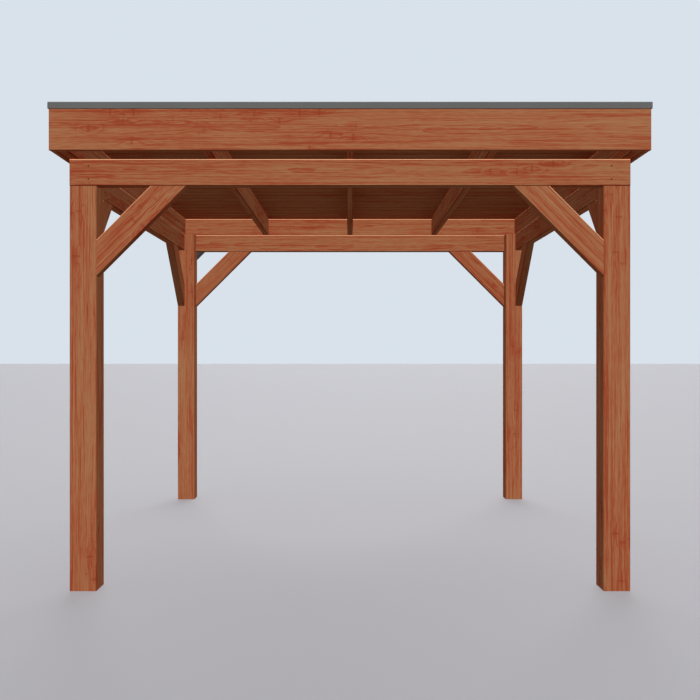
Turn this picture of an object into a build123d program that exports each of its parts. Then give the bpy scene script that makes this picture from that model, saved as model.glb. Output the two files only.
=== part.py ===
from build123d import *
import math
import os

# A square, open-sided timber patio cover with a flat roof.
# Four posts with notched heads carry a ring of beams, eight braces stiffen the corners,
# joists cross the beams, and the boarded deck is closed by fascias and a metal edge trim.
# Millimetres, +Z up. The origin is on the ground, in the middle of the overall plan.
# Left is -X and front is -Y, as seen by someone walking in under the long front overhang.

# Plan and heights
post_spread_x = 3040
post_spread_y = 3040
clear_height = 2197
front_overhang = 205
side_overhang = 40
back_overhang = 40

# Timber sections
post_size = 145
beam_thickness = 60
beam_depth = 145
joist_depth = 145
joist_width = 45
edge_joist_width = 60
joist_spacing = 750
brace_thickness = 60
brace_width = 140
brace_leg = 490
arris = 4
fascia_thickness = 30
fascia_height = 238
fascia_arris = 2

# Roof deck of tongue and groove boards
deck_thickness = 18
board_pitch = 135
groove_depth = 4

# Waterproof sheet and metal edge trim
membrane_thickness = 3
trim_height = 36
trim_stand_off = 3
trim_wall = 2.5
trim_nose_height = 5.5
trim_flange_setback = 2
trim_nose_width = 9
trim_drip = 2

# Outlet through the back fascia, hopper and downpipe
outlet_width = 100
outlet_height = 40
outlet_wall = 2
outlet_flange = 20
outlet_reach = 30
hopper_width = 150
hopper_depth = 100
hopper_height = 105
hopper_wall = 3
hopper_taper = 15
hopper_drop = 8
pipe_radius = 40
pipe_wall = 2
pipe_offset = 180
pipe_diagonal_height = 2136
pipe_bend_radius = 62
pipe_bottom = 40
socket_length = 50
socket_wall = 3
socket_tail = 30
spout_length = 35
fit_gap = 0.3
upper_bracket_drop = 297
lower_bracket_rise = 380
bracket_width = 26
bracket_ear = 14
bracket_ear_thickness = 8
bracket_stem_radius = 6
bracket_base_radius = 22
bracket_base_thickness = 4

# Places that follow from the sizes above
half_x = post_spread_x / 2
beam_inner_x = half_x - beam_thickness
post_inner_x = half_x - post_size
beam_top = clear_height + beam_depth
joist_top = beam_top + joist_depth
deck_top = joist_top + deck_thickness
fascia_top = beam_top + fascia_height
fascia_outer_x = half_x + side_overhang
fascia_inner_x = fascia_outer_x - fascia_thickness

trim_projection = trim_stand_off + trim_wall
trim_flange_width = fascia_thickness + membrane_thickness - trim_flange_setback
overall_depth = (
    post_spread_y + front_overhang + trim_projection + back_overhang + hopper_depth
)
front_y = -overall_depth / 2 + trim_projection + front_overhang
back_y = front_y + post_spread_y
fascia_front_y = front_y - front_overhang
fascia_front_inner_y = fascia_front_y + fascia_thickness
fascia_back_y = back_y + back_overhang
fascia_back_inner_y = fascia_back_y - fascia_thickness

membrane_top = fascia_top + membrane_thickness
trim_top = membrane_top + trim_wall + trim_nose_height
pipe_y = fascia_back_y + hopper_depth / 2
pipe_x = -(half_x - post_size / 2)
hopper_x = pipe_x + pipe_offset
outlet_floor = deck_top + membrane_thickness
hopper_top = outlet_floor - hopper_drop
hopper_bottom = hopper_top - hopper_height


def block(x_range, y_range, z_range):
    """A plain box between pairs of coordinates, given in either order."""
    spans = [(min(pair), max(pair)) for pair in (x_range, y_range, z_range)]
    size = [high - low for low, high in spans]
    centre = [(low + high) / 2 for low, high in spans]
    return Pos(*centre) * Box(*size)


def timber(x_range, y_range, z_range, along, bevel=arris):
    """A planed length of timber: a box whose four long arrises are bevelled."""
    piece = block(x_range, y_range, z_range)
    return chamfer(piece.edges().filter_by(along), bevel)


def post(side, end):
    """A post with its head notched on both outer faces for the beams.

    side is -1 for left and 1 for right, end is -1 for front and 1 for back.
    """
    outer_x = side * half_x
    inner_x = side * post_inner_x
    outer_y = front_y if end < 0 else back_y
    inner_y = outer_y - end * post_size
    piece = timber((outer_x, inner_x), (outer_y, inner_y), (0, beam_top), Axis.Z)
    notch_z = (clear_height, beam_top)
    piece -= block((outer_x, side * beam_inner_x), (outer_y, inner_y), notch_z)
    piece -= block((outer_x, inner_x), (outer_y, outer_y - end * beam_thickness), notch_z)
    return piece


def cross_beam(end):
    """The front or back beam, as long as the frame is wide."""
    outer_y = front_y if end < 0 else back_y
    y_range = (outer_y, outer_y - end * beam_thickness)
    return timber((-half_x, half_x), y_range, (clear_height, beam_top), Axis.X)


def side_beam(side):
    """A side beam, fitted between the front and back beams."""
    y_range = (front_y + beam_thickness, back_y - beam_thickness)
    x_range = (side * beam_inner_x, side * half_x)
    return timber(x_range, y_range, (clear_height, beam_top), Axis.Y)


def brace(plane, post_face, inward, outer_face, depth_direction):
    """A 45 degree brace with an upright cut on the post and a level cut under the beam.

    The outline is drawn in the plane through the wall of the frame. post_face is where the
    post ends along that wall, inward is the sign of the way into the bay, and the outline is
    extruded from outer_face by the brace's thickness, in depth_direction.
    """
    short_leg = brace_leg - brace_width * math.sqrt(2)
    outline = Polyline(
        (post_face, clear_height - brace_leg),
        (post_face, clear_height - short_leg),
        (post_face + inward * short_leg, clear_height),
        (post_face + inward * brace_leg, clear_height),
        close=True,
    )
    face = outer_face * (plane * make_face(outline))
    piece = extrude(face, brace_thickness, dir=depth_direction)
    long_edges = [e for e in piece.edges() if 0.1 < abs((e % 0.5).Z) < 0.9]
    return chamfer(long_edges, arris)


def front_or_back_brace(side, end):
    """A brace in the front or back wall, flush with the outer face of its post."""
    outer_y = front_y if end < 0 else back_y
    return brace(Plane.XZ, side * post_inner_x, -side, Pos(0, outer_y, 0), (0, -end, 0))


def side_brace(side, end):
    """A brace in a side wall, flush with the outer face of its post."""
    post_face = (front_y if end < 0 else back_y) - end * post_size
    return brace(Plane.YZ, post_face, -end, Pos(side * half_x, 0, 0), (-side, 0, 0))


def inner_joist(x):
    """A joist that runs from the front fascia to the back rim."""
    y_range = (fascia_front_inner_y, fascia_back_inner_y - edge_joist_width)
    x_range = (x - joist_width / 2, x + joist_width / 2)
    return timber(x_range, y_range, (beam_top, joist_top), Axis.Y)


def edge_joist(side):
    """The wider joist over a side beam, against the inside of the side fascia."""
    x_range = (side * fascia_inner_x, side * (fascia_inner_x - edge_joist_width))
    y_range = (fascia_front_inner_y, fascia_back_inner_y)
    return timber(x_range, y_range, (beam_top, joist_top), Axis.Y)


def back_rim():
    """The rim across the ends of the inner joists, over the back beam."""
    reach = fascia_inner_x - edge_joist_width
    y_range = (fascia_back_inner_y - edge_joist_width, fascia_back_inner_y)
    return timber((-reach, reach), y_range, (beam_top, joist_top), Axis.X)


def roof_deck():
    """Boards laid across the joists, with a V at each joint on the underside."""
    y_range = (fascia_front_inner_y, fascia_back_inner_y)
    piece = block((-fascia_inner_x, fascia_inner_x), y_range, (joist_top, deck_top))
    joint = fascia_front_inner_y + board_pitch
    grooves = []
    while joint < fascia_back_inner_y - groove_depth:
        outline = Polyline(
            (joint - groove_depth, joist_top),
            (joint + groove_depth, joist_top),
            (joint, joist_top + groove_depth),
            close=True,
        )
        face = Pos(-fascia_inner_x, 0, 0) * (Plane.YZ * make_face(outline))
        grooves.append(extrude(face, 2 * fascia_inner_x, dir=(1, 0, 0)))
        joint += board_pitch
    return piece - grooves


def outlet_opening(clearance):
    """The hole that the outlet passes through, from inside the roof to open air."""
    return block(
        (hopper_x - outlet_width / 2 - clearance, hopper_x + outlet_width / 2 + clearance),
        (fascia_back_inner_y - outlet_flange, fascia_back_y + outlet_reach),
        (outlet_floor - clearance, outlet_floor + outlet_height + clearance),
    )


def cross_fascia(end):
    """The front or back fascia, which covers the ends of the side fascias."""
    outer_y = fascia_front_y if end < 0 else fascia_back_y
    y_range = (outer_y, outer_y - end * fascia_thickness)
    x_range = (-fascia_outer_x, fascia_outer_x)
    piece = timber(x_range, y_range, (beam_top, fascia_top), Axis.X, fascia_arris)
    if end > 0:
        piece -= outlet_opening(fit_gap)
    return piece


def side_fascia(side):
    """A side fascia, between the front and back fascias."""
    y_range = (fascia_front_inner_y, fascia_back_inner_y)
    x_range = (side * fascia_inner_x, side * fascia_outer_x)
    return timber(x_range, y_range, (beam_top, fascia_top), Axis.Y, fascia_arris)


def roof_membrane():
    """The waterproof sheet: flat on the deck, up inside the fascias and over their tops."""
    inner_x = fascia_inner_x - membrane_thickness
    inner_y = (fascia_front_inner_y + membrane_thickness, fascia_back_inner_y - membrane_thickness)
    tray = block(
        (-fascia_inner_x, fascia_inner_x),
        (fascia_front_inner_y, fascia_back_inner_y),
        (deck_top, membrane_top),
    )
    brim = block(
        (-fascia_outer_x, fascia_outer_x),
        (fascia_front_y, fascia_back_y),
        (fascia_top, membrane_top),
    )
    hollow = block((-inner_x, inner_x), inner_y, (outlet_floor, membrane_top))
    return tray + brim - hollow - outlet_opening(fit_gap)


def trim_section(out, sign):
    """Section of the edge trim, as points of (distance across, height).

    out is the outer face of the fascia and sign the way outwards. A face plate with a turned-in
    drip hangs clear of the fascia, a raised nose stops the water, and a flange lies on the sheet.
    """
    face = out + sign * trim_projection
    hang = out + sign * trim_stand_off
    foot = trim_top - trim_height
    flange = membrane_top + trim_wall
    nose = face - sign * trim_nose_width
    return Polyline(
        (face, foot + trim_drip),
        (face, trim_top - trim_wall),
        (face - sign * trim_wall, trim_top),
        (nose, trim_top),
        (nose - sign * trim_nose_height, flange),
        (out - sign * trim_flange_width, flange),
        (out - sign * trim_flange_width, membrane_top),
        (hang, membrane_top),
        (hang, foot + trim_drip),
        (hang - sign * trim_drip, foot),
        (face - sign * trim_drip, foot),
        close=True,
    )


def edge_trim(plane, out, sign, half_length, centre):
    """One length of edge trim, mitred at both ends.

    plane is the plane of its section, out the fascia's face there, and half_length the distance
    from the trim's middle to its outer corner.
    """
    along = Vector(1, 0, 0) if plane == Plane.YZ else Vector(0, 1, 0)
    face = plane * make_face(trim_section(out, sign))
    start = centre - along * half_length
    bar = extrude(Pos(*start) * face, 2 * half_length, dir=along)
    outer = out + sign * trim_projection
    inner = out - sign * trim_flange_width
    narrowing = trim_projection + trim_flange_width
    corners = [
        (-half_length, outer),
        (half_length, outer),
        (half_length - narrowing, inner),
        (narrowing - half_length, inner),
    ]
    if plane == Plane.XZ:
        corners = [(across, run) for run, across in corners]
    mitre = make_face(Polyline(*corners, close=True))
    return bar & extrude(Pos(*centre) * mitre, trim_top, dir=(0, 0, 1))


def tube(path, outer_radius, wall):
    """A round pipe along a path, open at both ends."""
    start = Plane(origin=path @ 0, z_dir=path % 0)
    body = sweep(start * Circle(outer_radius), path=path)
    return body - sweep(start * Circle(outer_radius - wall), path=path)


def upright_tube(x, y, bottom, top, outer_radius, wall):
    """A straight upright pipe."""
    ring = Circle(outer_radius) - Circle(outer_radius - wall)
    return extrude(Pos(x, y, bottom) * ring, top - bottom)


def roof_outlet():
    """A flat box outlet with a flange on the sheet's upturn inside the roof."""
    outer_x = (hopper_x - outlet_width / 2, hopper_x + outlet_width / 2)
    outer_z = (outlet_floor, outlet_floor + outlet_height)
    plate_y = fascia_back_inner_y - membrane_thickness
    y_range = (plate_y, fascia_back_y + outlet_reach)
    flange = block(
        (outer_x[0] - outlet_flange, outer_x[1] + outlet_flange),
        (plate_y - outlet_wall, plate_y),
        (outlet_floor, outer_z[1] + outlet_flange),
    )
    channel = block(outer_x, y_range, outer_z)
    bore = block(
        (outer_x[0] + outlet_wall, outer_x[1] - outlet_wall),
        (plate_y - outlet_wall, y_range[1]),
        (outer_z[0] + outlet_wall, outer_z[1] - outlet_wall),
    )
    return flange + channel - bore


def rain_hopper():
    """An open-topped hopper on the back fascia, tapering to a round spout."""
    half_width = hopper_width / 2
    half_depth = hopper_depth / 2
    foot = Vector(hopper_x, pipe_y, hopper_bottom)

    def body(shrink, floor):
        """The tapered box, made smaller all round by shrink and starting at height floor."""
        low = Pos(hopper_x, pipe_y, floor) * Rectangle(
            2 * (half_width - hopper_taper - shrink), 2 * (half_depth - shrink)
        )
        high = Pos(hopper_x, pipe_y, hopper_top) * Rectangle(
            2 * (half_width - shrink), 2 * (half_depth - shrink)
        )
        return loft([low, high])

    spout_radius = pipe_radius - pipe_wall - fit_gap
    shell = body(0, hopper_bottom) - body(hopper_wall, hopper_bottom + hopper_wall)
    spout = upright_tube(
        foot.X, foot.Y, hopper_bottom - spout_length, hopper_bottom, spout_radius, pipe_wall
    )
    bore = Pos(foot.X, foot.Y, hopper_bottom + hopper_wall / 2) * Cylinder(
        spout_radius - pipe_wall, 2 * hopper_wall
    )
    return shell + spout - bore


def downpipe_offset():
    """The swan neck that brings the pipe from the hopper to the back of the post."""
    socket_top = pipe_diagonal_height - pipe_bend_radius * math.tan(math.pi / 8) - socket_tail
    path = FilletPolyline(
        (hopper_x, pipe_y, hopper_bottom),
        (hopper_x, pipe_y, pipe_diagonal_height + pipe_offset),
        (pipe_x, pipe_y, pipe_diagonal_height),
        (pipe_x, pipe_y, socket_top),
        radius=pipe_bend_radius,
    )
    neck = tube(path, pipe_radius, pipe_wall)
    socket = upright_tube(
        pipe_x,
        pipe_y,
        socket_top - socket_length,
        socket_top,
        pipe_radius + fit_gap + socket_wall,
        socket_wall,
    )
    stop = upright_tube(
        pipe_x,
        pipe_y,
        socket_top - socket_wall,
        socket_top,
        pipe_radius + fit_gap + socket_wall,
        socket_wall + fit_gap + pipe_wall,
    )
    return neck + socket + stop, socket_top - socket_wall


def pipe_bracket(height):
    """A clip round the downpipe on a stem that stands off the back of the post."""
    inner = pipe_radius + fit_gap
    outer = inner + socket_wall
    bottom = height - bracket_width / 2
    ring = upright_tube(pipe_x, pipe_y, bottom, bottom + bracket_width, outer, socket_wall)
    for side in (-1, 1):
        ear_x = pipe_x + side * (inner + bracket_ear / 2)
        ring += Pos(ear_x, pipe_y, height) * Box(
            bracket_ear, bracket_ear_thickness, bracket_width
        )
    bore = Pos(pipe_x, pipe_y, height) * Cylinder(inner, bracket_width)
    stem_length = pipe_y - inner - back_y
    wall_side = Plane(origin=(pipe_x, back_y, height), z_dir=(0, 1, 0))
    stem = extrude(wall_side * Circle(bracket_stem_radius), stem_length)
    base = extrude(wall_side * Circle(bracket_base_radius), bracket_base_thickness)
    return ring + stem + base - bore


sides = {"left": -1, "right": 1}
ends = {"front": -1, "back": 1}
pieces = {}

for end_name, end in ends.items():
    pieces[f"{end_name}_beam"] = cross_beam(end)
    pieces[f"{end_name}_fascia"] = cross_fascia(end)
    for side_name, side in sides.items():
        corner = f"{end_name}_{side_name}"
        pieces[f"{corner}_post"] = post(side, end)
        pieces[f"{corner}_brace"] = front_or_back_brace(side, end)
        pieces[f"{corner}_side_brace"] = side_brace(side, end)

for side_name, side in sides.items():
    pieces[f"{side_name}_beam"] = side_beam(side)
    pieces[f"{side_name}_edge_joist"] = edge_joist(side)
    pieces[f"{side_name}_joist"] = inner_joist(side * joist_spacing)
    pieces[f"{side_name}_fascia"] = side_fascia(side)
    pieces[f"{side_name}_trim"] = edge_trim(
        Plane.XZ,
        side * fascia_outer_x,
        side,
        (fascia_back_y - fascia_front_y) / 2 + trim_projection,
        Vector(0, (fascia_front_y + fascia_back_y) / 2, 0),
    )

pieces["middle_joist"] = inner_joist(0)
pieces["back_rim"] = back_rim()
pieces["roof_deck"] = roof_deck()
pieces["roof_membrane"] = roof_membrane()

for end_name, end in ends.items():
    pieces[f"{end_name}_trim"] = edge_trim(
        Plane.YZ,
        fascia_front_y if end < 0 else fascia_back_y,
        end,
        fascia_outer_x + trim_projection,
        Vector(0, 0, 0),
    )

pieces["roof_outlet"] = roof_outlet()
pieces["rain_hopper"] = rain_hopper()
pieces["downpipe_offset"], pipe_top = downpipe_offset()
pieces["downpipe"] = upright_tube(pipe_x, pipe_y, pipe_bottom, pipe_top, pipe_radius, pipe_wall)
pieces["upper_pipe_bracket"] = pipe_bracket(pipe_top - upper_bracket_drop)
pieces["lower_pipe_bracket"] = pipe_bracket(pipe_bottom + lower_bracket_rise)

os.makedirs("parts", exist_ok=True)
for node, piece in pieces.items():
    export_step(piece, f"parts/{node}.step")
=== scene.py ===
import math

import bmesh
import bpy
import numpy as np
from mathutils import Euler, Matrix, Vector


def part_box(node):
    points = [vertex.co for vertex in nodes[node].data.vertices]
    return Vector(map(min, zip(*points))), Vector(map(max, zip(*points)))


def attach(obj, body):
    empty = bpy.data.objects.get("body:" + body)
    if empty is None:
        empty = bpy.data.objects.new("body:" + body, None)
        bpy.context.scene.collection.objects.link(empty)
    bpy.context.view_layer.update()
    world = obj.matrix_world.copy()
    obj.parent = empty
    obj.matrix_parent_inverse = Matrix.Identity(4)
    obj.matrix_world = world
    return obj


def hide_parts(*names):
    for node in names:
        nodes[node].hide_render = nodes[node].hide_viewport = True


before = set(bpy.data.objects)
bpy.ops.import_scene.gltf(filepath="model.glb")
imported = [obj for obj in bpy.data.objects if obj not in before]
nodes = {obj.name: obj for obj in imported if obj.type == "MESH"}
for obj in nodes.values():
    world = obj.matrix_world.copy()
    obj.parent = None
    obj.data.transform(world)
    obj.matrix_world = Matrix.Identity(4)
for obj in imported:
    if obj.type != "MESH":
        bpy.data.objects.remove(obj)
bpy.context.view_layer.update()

# A timber patio cover: stained posts, beams, braces and joists under a flat boarded roof,
# with roofing rubber, a powder coated edge trim and a plastic rainwater pipe.
# Metres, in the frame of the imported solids: left is -X, front is -Y, the posts stand at Z = 0.
BODY = "root"
MM = 0.001

# The photograph's camera: level, on the cover's centre line
PHOTO_PIXELS = 700
FOCAL_PIXELS = 850
HORIZON_ROW = 353
CAMERA_DISTANCE = 4.606
CAMERA_HEIGHT = 1.291
SENSOR_WIDTH = 36

# Stage and light. The floor has a colour that is seen and one for the light that it gives back,
# which leaves the ceiling dark. It reaches as far to both sides, and lies in Y between its ends.
FLOOR_COLOUR = "#969599"
FLOOR_BOUNCE = "#726c67"
FLOOR_REACH = 140
FLOOR_ENDS = (-40, 95)
BACKDROP_COLOUR = "#d9e2eb"
AMBIENT_COLOUR = "#f6f7fa"
# A level of 1 makes a white wall just white, from all around or from a lamp that it faces
AMBIENT_LEVEL = 0.22
# Each lamp's level, the way it comes from, its height above the horizon and its spread in
# degrees, and whether it casts shadows. The way is 0 from the front and 90 from the right.
LAMPS = {
    "key": (1.14, 7, 47, 10, False),
    "rear": (0.58, 176, 29, 50, True),
    "left_fill": (0.18, -90, 41, 20, False),
    "right_fill": (0.18, 90, 41, 20, False),
}

# Fasteners. Screws sit 102 mm in from the frame's outer corners, one row above the other.
SCREW_RADIUS = 4.5 * MM
SCREW_INSET = 102 * MM
SCREW_ROWS = (37 * MM, 108 * MM)
SMALL_SCREW_RADIUS = 3.8 * MM
FLANGE_SCREW_SPACING = 300 * MM
FLANGE_SCREW_INSET = 4 * MM
BOLT_RADIUS = 5.8 * MM
RIVET_RADIUS = 3 * MM

# The edge trim and the rainwater goods, as the solids have them
TRIM_WALL = 2.5 * MM
PIPE_RADIUS = 40 * MM
SOCKET_RADIUS = 43.3 * MM
EAR_REACH = 48.8 * MM
EAR_HALF_THICKNESS = 4 * MM
BASE_PLATE = 4 * MM
HOPPER_WALL = 3 * MM
HOPPER_CUP = 105 * MM
FLANGE_PLATE = 2 * MM
OUTLET_FLANGE = 20 * MM

# What is added to them, with its place from the base plate's middle, from the hopper's top and
# middle, from the hopper's cup down, and from the outlet's middle
BASE_SCREW_RISE = 14 * MM
HOPPER_SCREW_DROPS = (18 * MM, 60 * MM)
HOPPER_SCREW_REACH = 42 * MM
PIPE_BEAD_DROP = 12 * MM
MIDDLE_RIVET_REACH = 22 * MM
SEALANT_RADIUS = 3.2 * MM

# A screw head's height and the depth of its star, as shares of the radius
HEAD_HEIGHT = 0.13
STAR_DEPTH = 0.16
# Sides of the turned shapes
STAR_SIDES = 36
HEXAGON = 6
STUD_SIDES = 16
WASHER_SIDES = 24
PIPE_SIDES = 64

# Real sizes of the patterns on metal, rubber and plastic: the orange peel of powder coat is
# about 1 mm across, finer than the render can show from the front, and shows close up
PEEL_WAVE = 1.4 * MM
COAT_CLOUD = 260 * MM
DUST_PATCH = 450 * MM
SHEET_WAVE = 400 * MM
PLASTIC_CLOUD = 110 * MM
FLOW_WAVE = 35 * MM
MOULD_CLOUD = 40 * MM
MOULD_GRAIN = 0.9 * MM
SEAL_BLOOM = 14 * MM
FILM_PATCH = 2.5 * MM
BRUSHED_PATCH = 1.2 * MM
# The noise at which the first tone starts to turn into the second, and where it has
MOTTLED_BAND = (0.33, 0.7)

# The sheet's foot inside the roof, and the folds in its corners: their reach along the side and
# their rise, and the share of both at which their loose edge stands
COVE_RADIUS = 14 * MM
SHEET = 3 * MM
FOLD = (62 * MM, 70 * MM)
FOLD_EDGE = (0.9, 0.88)
FOLD_THICKNESS = 3 * MM
# How far they reach into what carries them, so that no gap shows
TUCK = 0.4 * MM

# Boards of the roof deck. The tongue lies between two heights over the board's underside.
BOARD_PITCH = 135 * MM
BOARD_GAP = 0.6 * MM
BOARD_BEVEL = 4 * MM
TONGUE = 6 * MM
TONGUE_BAND = (7 * MM, 12 * MM)
GROOVE_SLACK = 0.4 * MM
GROOVE_ROOM = 1 * MM


def linear(hex_colour):
    """An sRGB hex colour as linear red, green, blue and an alpha of 1."""
    srgb = np.array([int(hex_colour[i : i + 2], 16) for i in (1, 3, 5)]) / 255
    rgb = np.where(srgb <= 0.04045, srgb / 12.92, ((srgb + 0.055) / 1.055) ** 2.4)
    return (*rgb.tolist(), 1.0)


def add(tree, kind, inputs=None, stops=(), **settings):
    """Adds one node with its settings.

    Each input, by name or number, is a value, a socket or a node, whose first output is taken.
    stops are a ramp's pairs of position and hex colour.
    """
    node = tree.nodes.new(kind)
    for name, value in settings.items():
        setattr(node, name, value)
    for key, value in (inputs or {}).items():
        if isinstance(value, bpy.types.Node):
            value = value.outputs[0]
        if isinstance(value, bpy.types.NodeSocket):
            tree.links.new(value, node.inputs[key])
        else:
            node.inputs[key].default_value = value
    for number, (position, colour) in enumerate(stops):
        elements = node.color_ramp.elements
        element = elements[number] if number < len(elements) else elements.new(position)
        element.position, element.color = position, linear(colour)
    return node


def new_material(name, **values):
    """A material with its tree and surface shader. values are the shader's plain numbers."""
    material = bpy.data.materials.new(name)
    material.use_nodes = True
    shader = material.node_tree.nodes["Principled BSDF"]
    for key, value in values.items():
        shader.inputs[key.replace("_", " ")].default_value = value
    return material, material.node_tree, shader


def mottled(name, tones, patches, relief=None, **values):
    """A material that drifts between two tones, with a shallow relief where the real one has it.

    The share of the second tone is noise in patches of a real size, and the relief is noise of
    another size. patches are size and detail, and relief is size, detail, strength and depth.
    """
    material, tree, shader = new_material(name, **values)
    place = add(tree, "ShaderNodeTexCoord").outputs["Object"]
    size, detail = patches
    cloud = add(tree, "ShaderNodeTexNoise", {"Vector": place, "Scale": 1 / size, "Detail": detail})
    colour = add(tree, "ShaderNodeValToRGB", {0: cloud}, stops=zip(MOTTLED_BAND, tones))
    tree.links.new(colour.outputs[0], shader.inputs["Base Color"])
    if relief:
        size, detail, strength, depth = relief
        wave = add(tree, "ShaderNodeTexNoise", {"Vector": place, "Scale": 1 / size, "Detail": detail})
        bump = add(tree, "ShaderNodeBump", {"Strength": strength, "Distance": depth, "Height": wave})
        tree.links.new(bump.outputs[0], shader.inputs["Normal"])
    return material


def dress(name, material):
    """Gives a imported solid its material."""
    nodes[name].data.materials.clear()
    nodes[name].data.materials.append(material)


def new_piece(name, points, faces, material, slot):
    """A mesh from arrays, with its doubles merged and its faces turned outwards."""
    mesh = bpy.data.meshes.new(name)
    mesh.from_pydata(np.asarray(points, float).reshape(-1, 3).tolist(), [], faces)
    shape = bmesh.new()
    shape.from_mesh(mesh)
    bmesh.ops.remove_doubles(shape, verts=shape.verts, dist=1e-6)
    bmesh.ops.recalc_face_normals(shape, faces=shape.faces)
    shape.to_mesh(mesh)
    shape.free()
    mesh.materials.append(material)
    piece = bpy.data.objects.new(name, mesh)
    bpy.context.scene.collection.objects.link(piece)
    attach(piece, BODY)
    return piece


# Sawn and planed spruce under a translucent red brown stain. To the eye it is a warm brown
# that drifts between tan and red in long thin streaks. Growth rings run out of the faces as
# arches, a few small red knots turn the grain, and the stain soaks in dark where the grain ends.
# The bevelled arrises carry a painted highlight where they face up and painted shade where they face
# down.
# The grain's tan, brown, red and dark red, and the tone at which each is full
GRAIN_TONES = [(0.12, "#a1704e"), (0.5, "#9d6040"), (0.8, "#984c31"), (1.0, "#93432a")]
# Knots, the painted highlight on upward arrises, the painted shade on downward arrises and the
# ends, and the most of the colour that is mixed in where it isn't all
KNOT_COLOUR, KNOT_SHARE = "#8a3b27", 0.55
ARRIS_HIGHLIGHT_COLOUR = "#dba37c"
# Painted shade on the arrises that face down
ARRIS_SHADE_COLOUR, ARRIS_SHADE_SHARE = "#4e2412", 0.8
END_COLOUR, END_SHARE = "#6f3a24", 0.6

# Growth rings, and how far the pith line wanders slowly and ripples. A ring is mostly pale early
# wood, because its place in the ring is raised to a power before it gives its tone.
RING_WIDTH = 7 * MM
PITH_WANDER = 70 * MM
PITH_RIPPLE = 10 * MM
LATE_POWER = 1.6

# Knots. A cell of the pattern, as long and as wide as this, holds one knot where there is a
# whorl, which the noise of that name fades in over a band. A knot's core and its eye have a half
# length, a half width and the share of them that is full. Across the grain, an eye draws the
# lines in to its core by this share, and it swells the rings by this many rings.
KNOT_CELL = (200 * MM, 62 * MM)
WHORL_BAND = (0.52, 0.62)
KNOT_CORE = (9 * MM, 28 * MM, 0.6)
KNOT_EYE = (110 * MM, 28 * MM, 0.0)
KNOT_SPREAD = 0.75
KNOT_RINGS = 2.6

# What each part of the grain adds to the tone, which starts here so that 0.5 is average wood
TONE_START = -1.37
RING_TONE = 0.34
NOISE_TONES = {"streak": 1.0, "blotch": 0.5, "fibre": 0.85, "fleck": 0.95}
EYE_TONE = 0.36
WHORL_TONE = 0.10
# A thin red line is full where its noise is nearer to its middle value than the first number,
# and gone past the second, and it adds this tone
LINE_BAND = (0.012, 0.045)
LINE_TONE = 0.36

# A face is a bevel below the first number and flat above the second, by the largest part of its
# normal along the timber's axes. The other bands run from none to full: the grain ends by the
# normal's part along the grain, and a bevel gets a painted highlight as the normal turns up and
# painted shade as it turns down.
BEVEL_BAND = (0.8, 0.92)
END_BAND = (0.9, 0.97)
ARRIS_HIGHLIGHT_BAND = (0.1, 0.6)
ARRIS_SHADE_BAND = (-0.3, -0.7)

# Where each piece is cut from its log: how far the pith line lies from a timber's middle or from
# a board's underside, how far it leans to a side, in radians for a timber and in metres for a
# board, and how far along the log the piece may lie, in metres
TIMBER_CUT = (60 * MM, 110 * MM)
TIMBER_LEAN = 0.5
BOARD_CUT = (50 * MM, 100 * MM)
BOARD_LEAN = 30 * MM
LOG_REACH = 30
TIMBER_SEED = 12
BOARD_SEED = 3

# Drawn out noise: its length along the grain and its width across it in metres, and its detail.
# Real fibres are finer than 0.1 mm and are drawn at 5 mm, which the render can show.
GRAIN_NOISE = {
    "wander": (1.3, 0.45, 2.0),
    "ripple": (0.30, 0.06, 2.0),
    "blotch": (0.55, 0.07, 2.0),
    "streak": (2.0, 13 * MM, 3.0),
    "fibre": (0.45, 5 * MM, 2.0),
    "fleck": (0.06, 6 * MM, 2.0),
    "line": (1.50, 26 * MM, 2.0),
    "whorl": (0.80, 0.35, 0.0),
}


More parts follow.
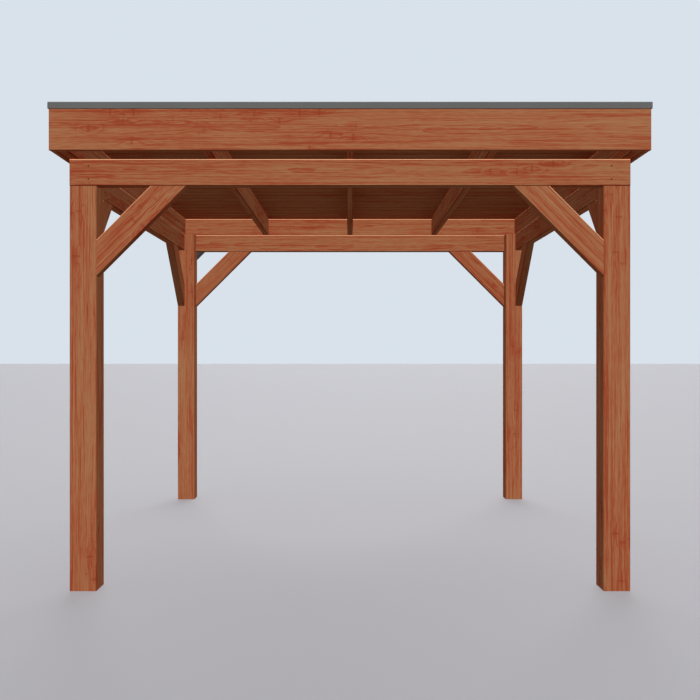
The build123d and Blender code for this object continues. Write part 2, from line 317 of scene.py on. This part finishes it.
def sawn_softwood():
    """A node group with the colour and the height of softwood grain.

    Place is in metres with X along the grain and the pith line at Y = Z = 0, and Facing is the
    surface's normal in that frame. Upright is the normal on the finished cover, with Z up. A
    ring's number is the distance from the pith line, moved by noise that wanders along the grain,
    divided by the ring width, and swollen round the knots. The tone is a sum of ring, streak,
    blotch, fibre and fleck, with a thin red line wherever one more noise crosses its middle, and
    a ramp turns it into colour. Streak, fibre, fleck and line are read nearer to a knot than they
    lie, so they part round it. The height is half the late wood plus the fibre.
    """
    tree = bpy.data.node_groups.new("sawn_softwood", "ShaderNodeTree")
    for name in ("Place", "Facing", "Upright"):
        tree.interface.new_socket(name=name, in_out="INPUT", socket_type="NodeSocketVector")
    tree.interface.new_socket(name="Colour", in_out="OUTPUT", socket_type="NodeSocketColor")
    tree.interface.new_socket(name="Height", in_out="OUTPUT", socket_type="NodeSocketFloat")
    source = add(tree, "NodeGroupInput")
    place = source.outputs["Place"]

    stretch, noise = {}, {}
    for name, (along, across, detail) in GRAIN_NOISE.items():
        stretch[name] = add(tree, "ShaderNodeMapping",
                            {"Vector": place, "Scale": (1 / along, 1 / across, 1 / across)})
        noise[name] = add(tree, "ShaderNodeTexNoise",
                          {"Vector": stretch[name], "Scale": 1.0, "Detail": detail})

    # Knots: they grow in whorls, with calm grain between. Each lies at a cell's point, and round
    # its core is an eye drawn out along the grain.
    whorl = add(tree, "ShaderNodeMapRange",
                {"Value": noise["whorl"], 1: WHORL_BAND[0], 2: WHORL_BAND[1], 3: 0.0, 4: 1.0})
    along, across = KNOT_CELL
    cell = add(tree, "ShaderNodeMapping",
               {"Vector": place, "Scale": (1 / along, 1 / across, 1 / across)})
    point = add(tree, "ShaderNodeTexVoronoi", {"Vector": cell, "Scale": 1.0})
    away = add(tree, "ShaderNodeVectorMath",
               {0: cell, 1: point.outputs["Position"]}, operation="SUBTRACT")
    near = {}
    for name, (half_length, half_width, full) in (("core", KNOT_CORE), ("eye", KNOT_EYE)):
        scale = (along / half_length, across / half_width, across / half_width)
        size = add(tree, "ShaderNodeVectorMath", {0: away, 1: scale}, operation="MULTIPLY")
        size = add(tree, "ShaderNodeVectorMath", {0: size}, operation="LENGTH")
        size = add(tree, "ShaderNodeMapRange",
                   {"Value": size.outputs["Value"], 1: full, 2: 1.0, 3: 1.0, 4: 0.0})
        near[name] = add(tree, "ShaderNodeMath", {0: size, 1: whorl}, operation="MULTIPLY")
    eye = near["eye"]

    # The lines of the grain part round each knot: in its eye they are read nearer to its core
    share = add(tree, "ShaderNodeMath", {0: eye, 1: KNOT_SPREAD}, operation="MULTIPLY")
    inward = add(tree, "ShaderNodeVectorMath",
                 {0: away, 1: (0.0, across, across)}, operation="MULTIPLY")
    inward = add(tree, "ShaderNodeVectorMath", {0: inward, "Scale": share}, operation="SCALE")
    parted = add(tree, "ShaderNodeVectorMath", {0: place, 1: inward}, operation="SUBTRACT")
    for name in ("streak", "fibre", "fleck", "line"):
        tree.links.new(parted.outputs[0], stretch[name].inputs["Vector"])

    # Rings round the wandering pith line
    centre = place
    for name, most in (("wander", PITH_WANDER), ("ripple", PITH_RIPPLE)):
        centre = add(tree, "ShaderNodeVectorMath",
                     {0: noise[name].outputs["Color"], 1: (0.0, most, most), 2: centre},
                     operation="MULTIPLY_ADD")
    average = (PITH_WANDER + PITH_RIPPLE) / 2
    centre = add(tree, "ShaderNodeVectorMath",
                 {0: centre, 1: (0.0, average, average)}, operation="SUBTRACT")
    centre = add(tree, "ShaderNodeVectorMath",
                 {0: centre, 1: (0.0, 1.0, 1.0)}, operation="MULTIPLY")
    radius = add(tree, "ShaderNodeVectorMath", {0: centre}, operation="LENGTH").outputs["Value"]
    ring = add(tree, "ShaderNodeMath", {0: radius, 1: RING_WIDTH}, operation="DIVIDE")
    ring = add(tree, "ShaderNodeMath", {0: eye, 1: KNOT_RINGS, 2: ring}, operation="MULTIPLY_ADD")
    ring = add(tree, "ShaderNodeMath", {0: ring}, operation="FRACT")
    late = add(tree, "ShaderNodeMath", {0: ring, 1: LATE_POWER}, operation="POWER")

    # The tone: 0.5 where everything is average, more where the wood is redder
    line = add(tree, "ShaderNodeMath", {0: noise["line"], 1: 0.5}, operation="SUBTRACT")
    line = add(tree, "ShaderNodeMath", {0: line}, operation="ABSOLUTE")
    line = add(tree, "ShaderNodeMapRange",
               {"Value": line, 1: LINE_BAND[0], 2: LINE_BAND[1], 3: LINE_TONE, 4: 0.0})
    shares = [(late, RING_TONE)] + [(noise[name], share) for name, share in NOISE_TONES.items()]
    shares += [(eye, EYE_TONE), (line, 1.0), (whorl, WHORL_TONE)]
    tone = TONE_START
    for part, share in shares:
        tone = add(tree, "ShaderNodeMath", {0: part, 1: share, 2: tone}, operation="MULTIPLY_ADD")
    colour = add(tree, "ShaderNodeValToRGB", {0: tone}, stops=GRAIN_TONES)

    # Where the surface faces: 1 on the bevels, on those that look up or down, and on the ends
    facing = add(tree, "ShaderNodeVectorMath", {0: source.outputs["Facing"]}, operation="ABSOLUTE")
    facing = add(tree, "ShaderNodeSeparateXYZ", {0: facing})
    flat = add(tree, "ShaderNodeMath", {0: facing.outputs[0], 1: facing.outputs[1]},
               operation="MAXIMUM")
    flat = add(tree, "ShaderNodeMath", {0: flat, 1: facing.outputs[2]}, operation="MAXIMUM")
    bevel = add(tree, "ShaderNodeMapRange",
                {"Value": flat, 1: BEVEL_BAND[0], 2: BEVEL_BAND[1], 3: 1.0, 4: 0.0})
    rise = add(tree, "ShaderNodeSeparateXYZ", {0: source.outputs["Upright"]}).outputs[2]
    # Painted light on the bevels: a painted highlight where they face up, painted shade where they
    # face down
    painted_highlight = add(tree, "ShaderNodeMapRange",
               {"Value": rise, 1: ARRIS_HIGHLIGHT_BAND[0], 2: ARRIS_HIGHLIGHT_BAND[1], 3: 0.0, 4: 1.0})
    painted_highlight = add(tree, "ShaderNodeMath", {0: painted_highlight, 1: bevel}, operation="MULTIPLY")
    # Painted shade on the bevels that face down
    painted_shade = add(tree, "ShaderNodeMapRange",
               {"Value": rise, 1: ARRIS_SHADE_BAND[0], 2: ARRIS_SHADE_BAND[1], 3: 0.0, 4: ARRIS_SHADE_SHARE})
    painted_shade = add(tree, "ShaderNodeMath", {0: painted_shade, 1: bevel}, operation="MULTIPLY")
    end = add(tree, "ShaderNodeMapRange",
              {"Value": facing.outputs[0], 1: END_BAND[0], 2: END_BAND[1], 3: 0.0, 4: END_SHARE})
    knot = add(tree, "ShaderNodeMath", {0: near["core"], 1: KNOT_SHARE}, operation="MULTIPLY")
    for amount, other in ((knot, KNOT_COLOUR), (painted_highlight, ARRIS_HIGHLIGHT_COLOUR), (painted_shade, ARRIS_SHADE_COLOUR),
                          (end, END_COLOUR)):
        mixed = add(tree, "ShaderNodeMix", {0: amount, 6: colour, 7: linear(other)},
                    data_type="RGBA")
        colour = mixed.outputs[2]

    height = add(tree, "ShaderNodeMath", {0: late, 1: 0.5, 2: noise["fibre"]},
                 operation="MULTIPLY_ADD")
    add(tree, "NodeGroupOutput", {"Colour": colour, "Height": height})
    return tree


def stained_spruce(name, wood, turn=(0, 0, 0), shift=(0, 0, 0), attribute=None):
    """Stained spruce whose grain lies as its Mapping node turns it.

    turn brings the timber's length onto the pattern's X, and shift brings its pith line to
    Y = Z = 0. With an attribute, each board's own shift is read from the mesh instead.
    """
    material, tree, shader = new_material(name, Roughness=0.75, IOR=1.48, Specular_IOR_Level=0.0)
    coordinates = add(tree, "ShaderNodeTexCoord")
    place = coordinates.outputs["Object"]
    if attribute:
        board = add(tree, "ShaderNodeAttribute", attribute_name=attribute)
        place = add(tree, "ShaderNodeVectorMath",
                    {0: place, 1: board.outputs["Vector"]}, operation="SUBTRACT")
    place = add(tree, "ShaderNodeMapping",
                {"Vector": place, "Rotation": turn, "Location": shift}, vector_type="POINT")
    facing = add(tree, "ShaderNodeMapping",
                 {"Vector": coordinates.outputs["Normal"], "Rotation": turn}, vector_type="VECTOR")
    grain = add(tree, "ShaderNodeGroup", node_tree=wood)
    tree.links.new(place.outputs[0], grain.inputs["Place"])
    tree.links.new(facing.outputs[0], grain.inputs["Facing"])
    tree.links.new(coordinates.outputs["Normal"], grain.inputs["Upright"])
    tree.links.new(grain.outputs["Colour"], shader.inputs["Base Color"])
    bump = add(tree, "ShaderNodeBump",
               {"Strength": 0.2, "Distance": 0.4 * MM, "Height": grain.outputs["Height"]})
    tree.links.new(bump.outputs[0], shader.inputs["Normal"])
    return material


def grain_turn(name):
    """The rotation that brings a timber's length onto X, and the axis through its thickness."""
    left, front = "left" in name, name.startswith("front")
    quarter, eighth = math.pi / 2, math.pi / 4
    if name.endswith("side_brace"):
        return (-eighth if front else eighth, 0, -quarter), 0
    if name.endswith("brace"):
        return (0, eighth if left else -eighth, 0), 1
    if name.endswith("post"):
        return (0, quarter, 0), 0
    if name in ("front_beam", "back_beam", "front_fascia", "back_fascia", "back_rim"):
        return (0, 0, 0), 1
    return (0, 0, -quarter), 0


def dress_timber(wood):
    """Gives each timber its own wood, whose pith line lies off its middle to a broad face."""
    kinds = ("post", "beam", "joist", "rim", "fascia", "brace")
    rng = np.random.default_rng(TIMBER_SEED)
    for name in sorted(n for n in nodes if n.endswith(kinds)):
        turn, thin_axis = grain_turn(name)
        matrix = Euler(turn).to_matrix()
        low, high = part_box(name)
        broad = matrix @ Vector([float(axis == thin_axis) for axis in range(3)])
        lean = rng.uniform(-TIMBER_LEAN, TIMBER_LEAN)
        reach = rng.uniform(*TIMBER_CUT) * rng.choice((-1, 1))
        pith = Vector((0, broad.y * math.cos(lean) - broad.z * math.sin(lean),
                       broad.y * math.sin(lean) + broad.z * math.cos(lean))) * reach
        shift = pith - matrix @ ((low + high) / 2)
        shift.x += rng.uniform(-LOG_REACH, LOG_REACH)
        dress(name, stained_spruce(f"stained_spruce_{name}", wood, turn, shift))


def deck_boards(wood):
    """The tongue and groove boards of the roof.

    One board's section is a closed outline of width and height, with a bevel along both lower
    edges, a tongue on one side and a groove on the other. It is carried along X, and repeated
    along Y at the board pitch, with the end boards cut off at the deck's edges. Each board's
    faces carry the place of its pith line in an attribute.
    """
    low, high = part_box("roof_deck")
    thickness = high.z - low.z
    width = BOARD_PITCH - BOARD_GAP
    band = np.array(TONGUE_BAND)
    slot_band = band + np.array((-GROOVE_SLACK, GROOVE_SLACK))
    depth = TONGUE + GROOVE_ROOM
    outline = np.array([
        (BOARD_BEVEL, 0), (width - BOARD_BEVEL, 0), (width, BOARD_BEVEL),
        (width, band[0]), (width + TONGUE, band[0]), (width + TONGUE, band[1]), (width, band[1]),
        (width, thickness), (0, thickness),
        (0, slot_band[1]), (depth, slot_band[1]), (depth, slot_band[0]), (0, slot_band[0]),
        (0, BOARD_BEVEL),
    ])
    count = math.ceil((high.y - low.y) / BOARD_PITCH)
    starts = low.y + BOARD_GAP / 2 + BOARD_PITCH * np.arange(count)
    # The first board starts at the deck's own edge
    starts[0] = low.y
    corners = len(outline)
    points = np.zeros((count, 2, corners, 3))
    points[..., 0] = np.array((low.x, high.x))[None, :, None]
    points[..., 1] = np.minimum(starts[:, None, None] + outline[None, None, :, 0], high.y)
    points[..., 2] = low.z + outline[None, None, :, 1]
    ring = np.arange(corners)
    sides = np.stack([ring, (ring + 1) % corners, (ring + 1) % corners + corners, ring + corners], 1)
    faces = []
    for board in range(count):
        first = board * 2 * corners
        faces += (sides + first).tolist()
        faces += [(ring + first).tolist(), (ring + first + corners).tolist()]
    material = stained_spruce("stained_spruce_boards", wood, attribute="board_pith")
    piece = new_piece("deck_boards", points, faces, material, "deck_boards")

    rng = np.random.default_rng(BOARD_SEED)
    rise = rng.uniform(*BOARD_CUT, count) * rng.choice((-1, 1), count)
    pith = np.stack([rng.uniform(-LOG_REACH, LOG_REACH, count),
                     rng.uniform(-BOARD_LEAN, BOARD_LEAN, count), rise], 1)
    mesh = piece.data
    centres = np.empty(len(mesh.polygons) * 3)
    mesh.polygons.foreach_get("center", centres)
    number = np.clip((centres[1::3] - low.y) // BOARD_PITCH, 0, count - 1).astype(int)
    middle = low.y + (number + 0.5) * BOARD_PITCH
    place = pith[number] + np.stack([0 * middle, middle, 0 * middle + low.z], 1)
    attribute = mesh.attributes.new("board_pith", "FLOAT_VECTOR", "FACE")
    attribute.data.foreach_set("vector", place.ravel())
    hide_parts("roof_deck")


def repeated(points, faces, places, ways):
    """Copies of one shape, each with its foot at a place and its Z axis turned along its way.

    A copy's point is its place, plus the shape's x, y and z along three ways: the cross product
    of a helper with its way, the cross product of its way with that one, and its way.
    """
    ways = np.asarray(ways, float)
    helper = np.where(np.abs(ways[:, 2:]) > 0.9, (1.0, 0.0, 0.0), (0.0, 0.0, 1.0))
    across = np.cross(helper, ways)
    across /= np.linalg.norm(across, axis=1, keepdims=True)
    axes = np.stack([across, np.cross(ways, across), ways], 1)
    all_points = np.asarray(places)[:, None, :] + points.reshape(-1, 3) @ axes
    all_faces = np.asarray(faces) + len(all_points[0]) * np.arange(len(all_points))[:, None, None]
    return all_points, all_faces.reshape(-1, 4).tolist()


def grid_faces(rows, columns):
    """The four-sided faces of a grid of points whose columns close on themselves.

    A face joins a point, the next one in its row and the two beside them in the next row.
    """
    row, column = np.meshgrid(np.arange(rows - 1) * columns, np.arange(columns), indexing="ij")
    row, column, after = row.ravel(), column.ravel(), (column.ravel() + 1) % columns
    return np.stack([row + column, row + after, row + columns + after, row + columns + column], 1)


def turned(profile, sides, lobes=0.0):
    """A solid of revolution about Z, from stations of radius, height and share of lobing.

    A station's radius is multiplied by 1 + share x lobes x cos(6 x angle), which draws a star.
    """
    radius, height, share = np.array(profile).T
    angle = 2 * np.pi * np.arange(sides) / sides
    r = radius[:, None] * (1 + share[:, None] * lobes * np.cos(6 * angle))
    points = np.stack([r * np.cos(angle), r * np.sin(angle), height[:, None] + 0 * r], -1)
    return points, grid_faces(len(profile), sides)


def carried(section, path, up):
    """A closed section carried along straight runs, with mitred corners and closed ends.

    The section's points are (distance to the left of the run, distance along up). At a corner
    the left way is the sum of both runs' left ways over 1 + their dot product, the mitre.
    """
    path, up = np.asarray(path, float), np.asarray(up, float)
    run = np.diff(path, axis=0)
    left = np.cross(up, run / np.linalg.norm(run, axis=1, keepdims=True))
    before, after = np.concatenate([left[:1], left]), np.concatenate([left, left[-1:]])
    mitre = (before + after) / (1 + np.sum(before * after, 1, keepdims=True))
    section = np.asarray(section, float)
    points = path[:, None] + section[:, :1] * mitre[:, None] + section[:, 1:] * up
    corners = np.arange(len(section))
    ends = [corners.tolist(), (corners + len(section) * (len(path) - 1)).tolist()]
    return points, grid_faces(len(path), len(section)).tolist() + ends


def star_screws(name, radius, places, ways, material, slot):
    """Low screw heads with a six lobed recess, standing on a surface.

    A head's stations are shares of its radius, of its height and of the star's depth.
    """
    stations = [(0, 0, 0), (1, 0, 0), (1, 0.6, 0), (0.93, 1, 0),
                (0.54, 1, 1), (0.48, 0.25, 1), (0, 0.25, 0)]
    profile = np.array(stations) * (radius, HEAD_HEIGHT * radius, 1)
    points, faces = turned(profile, STAR_SIDES, STAR_DEPTH)
    new_piece(name, *repeated(points, faces, places, ways), material, slot)


def round_parts(name, profile, sides, places, ways, material, slot):
    """Copies of one turned shape, such as a washer, whose stations are in millimetres."""
    points, faces = turned([(r, h, 0) for r, h in profile], sides)
    new_piece(name, *repeated(points * MM, faces, places, ways), material, slot)


def fastener_metals():
    """The dark coated steel of the frame's screws and the stainless steel of the others."""
    # Coated steel screws: a dark olive brown film, uneven from its bath, that hides among
    # stained wood
    dark_steel = mottled("coated_steel", ("#3e3426", "#4c4232"), (FILM_PATCH, 2.0),
                         Roughness=0.5, Metallic=0.3)
    # Stainless steel: bright, with the fine uneven shine of a head that was pressed and tumbled
    stainless = mottled("stainless_steel", ("#a8a6a1", "#c0beb9"), (BRUSHED_PATCH, 2.0),
                        (BRUSHED_PATCH, 2.0, 0.3, 0.05 * MM), Roughness=0.35, Metallic=1.0)
    return dark_steel, stainless


def frame_screws(dark_steel):
    """The screws through the beams into the post heads, and down through the edge trim."""
    places, ways = [], []
    frame_low, frame_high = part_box("front_left_post")[0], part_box("back_right_post")[1]
    for name, axis in (("front_beam", 1), ("back_beam", 1), ("left_beam", 0), ("right_beam", 0)):
        low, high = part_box(name)
        out = 1.0 if (low + high)[axis] > 0 else -1.0
        run = 1 - axis
        for end in (frame_low[run] + SCREW_INSET, frame_high[run] - SCREW_INSET):
            for row in SCREW_ROWS:
                place, way = [0.0, 0.0, low.z + row], [0.0, 0.0, 0.0]
                place[axis] = high[axis] if out > 0 else low[axis]
                place[run], way[axis] = end, out
                places.append(place)
                ways.append(way)
    star_screws("beam_screws", SCREW_RADIUS, places, ways, dark_steel, "stained_timber")

    # Screws down through the trim's flange into the fascias
    flange_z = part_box("roof_membrane")[1].z + TRIM_WALL
    places = []
    for name, run in (("front_trim", 0), ("back_trim", 0), ("left_trim", 1), ("right_trim", 1)):
        fascia_low, fascia_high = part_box(name.replace("trim", "fascia"))
        length = fascia_high[run] - fascia_low[run]
        count = round(length / FLANGE_SCREW_SPACING)
        along = fascia_low[run] + length * (np.arange(count) + 0.5) / count
        middle = (fascia_low[1 - run] + fascia_high[1 - run]) / 2
        inward = -math.copysign(FLANGE_SCREW_INSET, middle)
        rows = np.full((count, 3), middle + inward)
        rows[:, run], rows[:, 2] = along, flange_z
        places.append(rows)
    places = np.concatenate(places)
    ways = np.tile((0.0, 0.0, 1.0), (len(places), 1))
    coat = bpy.data.materials["powder_coated_aluminium"]
    star_screws("flange_screws", SMALL_SCREW_RADIUS, places, ways, coat, "edge_trim")


def rainwater_fittings(stainless):
    """The bolts, screws, rivets, beads and seals of the outlet, the hopper and the pipe."""
    # Lip seals and sealant of black synthetic rubber: soft looking, with a dull shine, a pale
    # bloom in patches and the shallow waves that a gloved finger leaves
    seal = mottled("black_rubber_seal", ("#1a1a1b", "#242425"), (SEAL_BLOOM, 3.0),
                   (SEAL_BLOOM, 1.0, 0.4, 1 * MM), Roughness=0.5, IOR=1.52)
    plastic = bpy.data.materials["grey_rainwater_plastic"]
    back, front = (0.0, 1.0, 0.0), (0.0, -1.0, 0.0)
    slot = "rainwater_pipe"

    # Clamp bolts through the brackets' ears, and two screws in each base plate
    pipe_low, pipe_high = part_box("downpipe")
    pipe = (pipe_low + pipe_high) / 2
    heads, nuts, plates = [], [], []
    for name in ("upper_pipe_bracket", "lower_pipe_bracket"):
        low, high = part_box(name)
        level = (low.z + high.z) / 2
        for side in (-1, 1):
            ear = pipe.x + side * EAR_REACH
            heads.append((ear, pipe.y + EAR_HALF_THICKNESS, level))
            nuts.append((ear, pipe.y - EAR_HALF_THICKNESS, level))
            plates.append((pipe.x, low.y + BASE_PLATE, level + side * BASE_SCREW_RISE))
    washer = [(0, 0), (5.4, 0), (5.4, 0.9), (0, 0.9)]
    bolt = BOLT_RADIUS / MM
    chamfer = 0.88 * bolt
    head = [(0, 0.9), (bolt, 0.9), (bolt, 4.2), (chamfer, 4.9), (0, 4.9)]
    nut = [(0, 0.9), (chamfer, 0.9), (bolt, 1.5), (bolt, 5.3), (chamfer, 5.9), (0, 5.9)]
    thread = [(0, 5.9), (3, 5.9), (3, 8.4), (2.4, 9.0), (0, 9.0)]
    behind, before = [back] * len(heads), [front] * len(nuts)
    round_parts("clamp_washers", washer, WASHER_SIDES, heads + nuts, behind + before, stainless, slot)
    round_parts("clamp_bolts", head, HEXAGON, heads, behind, stainless, slot)
    round_parts("clamp_nuts", nut, HEXAGON, nuts, before, stainless, slot)
    round_parts("clamp_bolt_ends", thread, STUD_SIDES, nuts, before, stainless, slot)
    star_screws("base_plate_screws", SMALL_SCREW_RADIUS, plates, [back] * len(plates), stainless, slot)

    # The bead round the socket's mouth and round the pipe's top, and the lip seal below the mouth
    offset_low, offset_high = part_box("downpipe_offset")
    hopper_low, hopper_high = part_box("rain_hopper")
    hopper = (hopper_low + hopper_high) / 2
    socket, tube = SOCKET_RADIUS / MM, PIPE_RADIUS / MM
    up = (0.0, 0.0, 1.0)
    bead = [(-0.3, 0), (1.2, 0.4), (2.2, 1.8), (2.2, 7.2), (1.2, 8.6), (-0.3, 9), (-0.3, 0)]
    lip = [(0.1, -2.4), (2.4, -2.4), (3.0, -1.0), (3.0, 0.8), (0.1, 0.8), (0.1, -2.4)]
    mouth = (pipe.x, pipe.y, offset_low.z)
    pipe_top = (hopper.x, pipe.y, hopper_high.z - HOPPER_CUP - PIPE_BEAD_DROP)
    rings = [
        ("socket_bead", socket, bead, mouth, plastic),
        ("pipe_top_bead", tube, bead, pipe_top, plastic),
        ("lip_seal", tube, lip, mouth, seal),
    ]
    for name, inner, profile, place, material in rings:
        stations = [(inner + r, h) for r, h in profile]
        round_parts(name, stations, PIPE_SIDES, [place], [up], material, slot)

    # Screws through the hopper's back wall into the fascia, seen from above
    wall_y = hopper_low.y + HOPPER_WALL
    places = [(hopper.x + side * HOPPER_SCREW_REACH, wall_y, hopper_high.z - drop)
              for side in (-1, 1) for drop in HOPPER_SCREW_DROPS]
    star_screws("hopper_screws", SMALL_SCREW_RADIUS, places, [back] * len(places), stainless, slot)

    # Rivets and a bead of sealant round the outlet's flange, on the sheet's upturn
    low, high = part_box("roof_outlet")
    edge = OUTLET_FLANGE / 2
    columns, rows = (low.x + edge, high.x - edge), (low.z + edge, high.z - edge)
    places = [(x, low.y, z) for x in columns for z in rows]
    middle = (low.x + high.x) / 2
    places += [(middle + side * MIDDLE_RIVET_REACH, low.y, rows[1]) for side in (-1, 1)]
    r = RIVET_RADIUS / MM
    dome = [(0, 0), (r, 0), (0.9 * r, 0.6), (0.6 * r, 1.1), (0.3 * r, 1.25), (0, 1.3)]
    round_parts("outlet_rivets", dome, STUD_SIDES, places, [front] * len(places), stainless, slot)
    turn = np.linspace(0, math.pi, 9)
    section = SEALANT_RADIUS * np.stack([np.cos(turn), np.sin(turn)], 1)
    sheet_y = low.y + FLANGE_PLATE
    path = [(low.x, sheet_y, low.z), (low.x, sheet_y, high.z),
            (high.x, sheet_y, high.z), (high.x, sheet_y, low.z)]
    new_piece("outlet_sealant", *carried(section, path, front), seal, slot)


def sheet_folds():
    """The cove at the foot of the sheet's upturn, and the folds in its four corners.

    The cove's section is the corner between floor and wall, less a quarter disc that touches
    both. A fold is a flat plate, nearly a triangle, from the corner's foot to the upturn's top,
    along a side wall.
    """
    rubber = bpy.data.materials["roofing_rubber"]
    deck_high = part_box("roof_deck")[1]
    floor = deck_high.z + SHEET
    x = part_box("right_fascia")[0].x - SHEET
    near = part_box("front_fascia")[1].y + SHEET
    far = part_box("back_fascia")[0].y - SHEET
    low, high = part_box("roof_outlet")
    clear = SEALANT_RADIUS
    angle = np.linspace(0, math.pi / 2, 9)
    arc = COVE_RADIUS * (1 - np.stack([np.sin(angle), np.cos(angle)], 1))
    section = np.concatenate([arc, [(-TUCK, COVE_RADIUS), (-TUCK, -TUCK), (COVE_RADIUS, -TUCK)]])
    path = [(low.x - clear, far, floor), (-x, far, floor), (-x, near, floor), (x, near, floor),
            (x, far, floor), (high.x + clear, far, floor)]
    new_piece("sheet_cove", *carried(section, path, (0.0, 0.0, 1.0)), rubber, "rubber_sheet")

    along, height = (np.array([(0, 0), (0, 1), (1, 1), FOLD_EDGE]) * FOLD).T
    points = np.zeros((4, 2, 4, 3))
    side = np.array([-1, 1, -1, 1])[:, None]
    inset = np.array([-TUCK, FOLD_THICKNESS])
    points[..., 0] = (side * (x - inset))[..., None]
    points[:2, ..., 1] = near + along
    points[2:, ..., 1] = far - along
    points[..., 2] = floor + height
    one = grid_faces(2, 4).tolist() + [[0, 1, 2, 3], [4, 5, 6, 7]]
    points_each = 8
    faces = [[corner + points_each * fold for corner in face] for fold in range(4) for face in one]
    new_piece("corner_folds", points, faces, rubber, "rubber_sheet")


def dress_others():
    """Gives the trim, the sheet and the rainwater goods their materials."""
    # Powder coated aluminium: matt dark grey, with the fine orange peel of fused powder
    coat = mottled("powder_coated_aluminium", ("#5f5f5e", "#636362"), (COAT_CLOUD, 2.0),
                   (PEEL_WAVE, 2.0, 0.1, 0.2 * MM), Roughness=0.5, IOR=1.5, Specular_IOR_Level=0.3)
    # Cured roofing rubber: near black and matt, with shallow waves and a pale bloom of dust
    rubber = mottled("roofing_rubber", ("#2d2e30", "#434445"), (DUST_PATCH, 6.0),
                     (SHEET_WAVE, 1.5, 0.6, 6 * MM), Roughness=0.62, IOR=1.5)
    # Extruded rainwater plastic: smooth dark grey with a soft shine, and waves so shallow from
    # its sizing ring that only the highlights show them
    plastic = mottled("grey_rainwater_plastic", ("#434546", "#4b4d4e"), (PLASTIC_CLOUD, 3.0),
                      (FLOW_WAVE, 1.0, 0.3, 0.4 * MM), Roughness=0.38, IOR=1.53)
    # Moulded black polyethylene: a waxy matt black that hardly reflects, with the fine grain of
    # its mould
    polyethylene = mottled("moulded_polyethylene", ("#303132", "#383939"), (MOULD_CLOUD, 2.0),
                           (MOULD_GRAIN, 2.0, 0.3, 0.1 * MM), Roughness=0.6, IOR=1.5,
                           Specular_IOR_Level=0.12)

    for name in nodes:
        if name == "roof_outlet":
            dress(name, polyethylene)
        elif name.endswith("trim"):
            dress(name, coat)
        elif name == "roof_membrane":
            dress(name, rubber)
        elif "pipe" in name or name == "rain_hopper":
            dress(name, plastic)


def seen_directly(tree):
    """1 for the rays of the camera, of reflections and of glass, and 0 for diffuse light."""
    ray = add(tree, "ShaderNodeLightPath").outputs
    direct = add(tree, "ShaderNodeMath", {0: ray["Is Camera Ray"], 1: ray["Is Glossy Ray"]},
                 operation="MAXIMUM")
    return add(tree, "ShaderNodeMath", {0: direct, 1: ray["Is Transmission Ray"]},
               operation="MAXIMUM")


def make_stage():
    """A pale floor that ends short of the horizon, before an even pale blue backdrop."""
    x, (near, far) = FLOOR_REACH, FLOOR_ENDS
    mesh = bpy.data.meshes.new("floor")
    mesh.from_pydata([(-x, near, 0), (x, near, 0), (x, far, 0), (-x, far, 0)], [], [(0, 1, 2, 3)])
    floor = bpy.data.objects.new("floor", mesh)
    bpy.context.scene.collection.objects.link(floor)
    material, tree, shader = new_material("pale_floor", Roughness=0.9)
    colour = add(tree, "ShaderNodeMix", {0: seen_directly(tree), 6: linear(FLOOR_BOUNCE),
                                         7: linear(FLOOR_COLOUR)}, data_type="RGBA")
    tree.links.new(colour.outputs[2], shader.inputs["Base Color"])
    mesh.materials.append(material)

    world = bpy.data.worlds.new("studio")
    bpy.context.scene.world = world
    world.use_nodes = True
    tree = world.node_tree
    light = tree.nodes["Background"]
    light.inputs["Color"].default_value = linear(AMBIENT_COLOUR)
    light.inputs["Strength"].default_value = AMBIENT_LEVEL
    seen = add(tree, "ShaderNodeBackground", {"Color": linear(BACKDROP_COLOUR), "Strength": 1.0})
    backdrop = add(tree, "ShaderNodeMixShader", {0: seen_directly(tree), 1: light, 2: seen})
    tree.links.new(backdrop.outputs[0], tree.nodes["World Output"].inputs["Surface"])


def make_lights():
    """Soft distant lamps.

    The key and the fills cast no shadow, as in the photograph, so they reach under the roof. They
    are left out of reflections, where they would shine through the timber.
    """
    for name, (level, azimuth, elevation, spread, shadow) in LAMPS.items():
        lamp = bpy.data.lights.new(name, "SUN")
        lamp.energy = math.pi * level
        lamp.angle = math.radians(spread)
        lamp.use_shadow = shadow
        sun = bpy.data.objects.new(name, lamp)
        sun.rotation_euler = (math.radians(90 - elevation), 0, math.radians(azimuth))
        sun.visible_glossy = shadow
        bpy.context.scene.collection.objects.link(sun)


def make_camera():
    """The photograph's camera, at its distance in front of the front posts."""
    data = bpy.data.cameras.new("camera")
    data.sensor_width = SENSOR_WIDTH
    data.lens = SENSOR_WIDTH * FOCAL_PIXELS / PHOTO_PIXELS
    data.shift_y = (HORIZON_ROW - PHOTO_PIXELS / 2) / PHOTO_PIXELS
    camera = bpy.data.objects.new("camera", data)
    camera.location = (0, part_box("front_left_post")[0].y - CAMERA_DISTANCE, CAMERA_HEIGHT)
    camera.rotation_euler = (math.pi / 2, 0, 0)
    bpy.context.scene.collection.objects.link(camera)
    bpy.context.scene.camera = camera


bpy.context.scene.view_settings.view_transform = "Standard"
make_stage()
make_lights()
make_camera()
softwood = sawn_softwood()
dress_timber(softwood)
dress_others()
deck_boards(softwood)
dark_steel, stainless = fastener_metals()
frame_screws(dark_steel)
rainwater_fittings(stainless)
sheet_folds()
